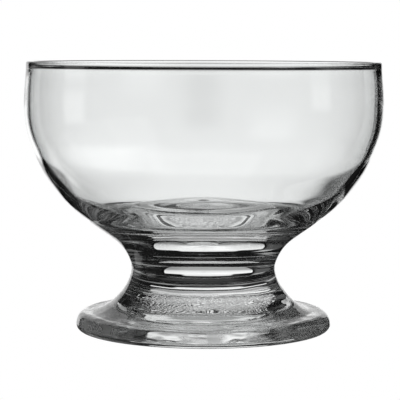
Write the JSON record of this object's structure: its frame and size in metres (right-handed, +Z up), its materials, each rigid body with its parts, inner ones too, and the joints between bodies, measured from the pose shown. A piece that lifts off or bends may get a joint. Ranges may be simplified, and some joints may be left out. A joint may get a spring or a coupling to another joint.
{
  "type": "dessert cup",
  "caption": "Clear glass dessert cup: a deep round bowl on a short waisted stem and a thick round foot, for ice cream, fruit or pudding.",
  "frame": {"origin": "on the upright axis, in the plane of the resting ring under the foot", "axes": "+Z up along the axis of revolution; X and Y are equivalent, and -Y faces the viewer in the main view"},
  "size_m": [0.1048, 0.1048, 0.0784],
  "materials": {
    "blown_glass": "clear colourless soda-lime glass, fire-polished",
    "pressed_glass": "clear colourless soda-lime glass, pressed, faintly wavy, with a fine grain in the hollow under the foot"
  },
  "bodies": {
    "root": {"bowl": "blown_glass", "stem": "pressed_glass", "foot": "pressed_glass"}
  },
  "joints": []
}
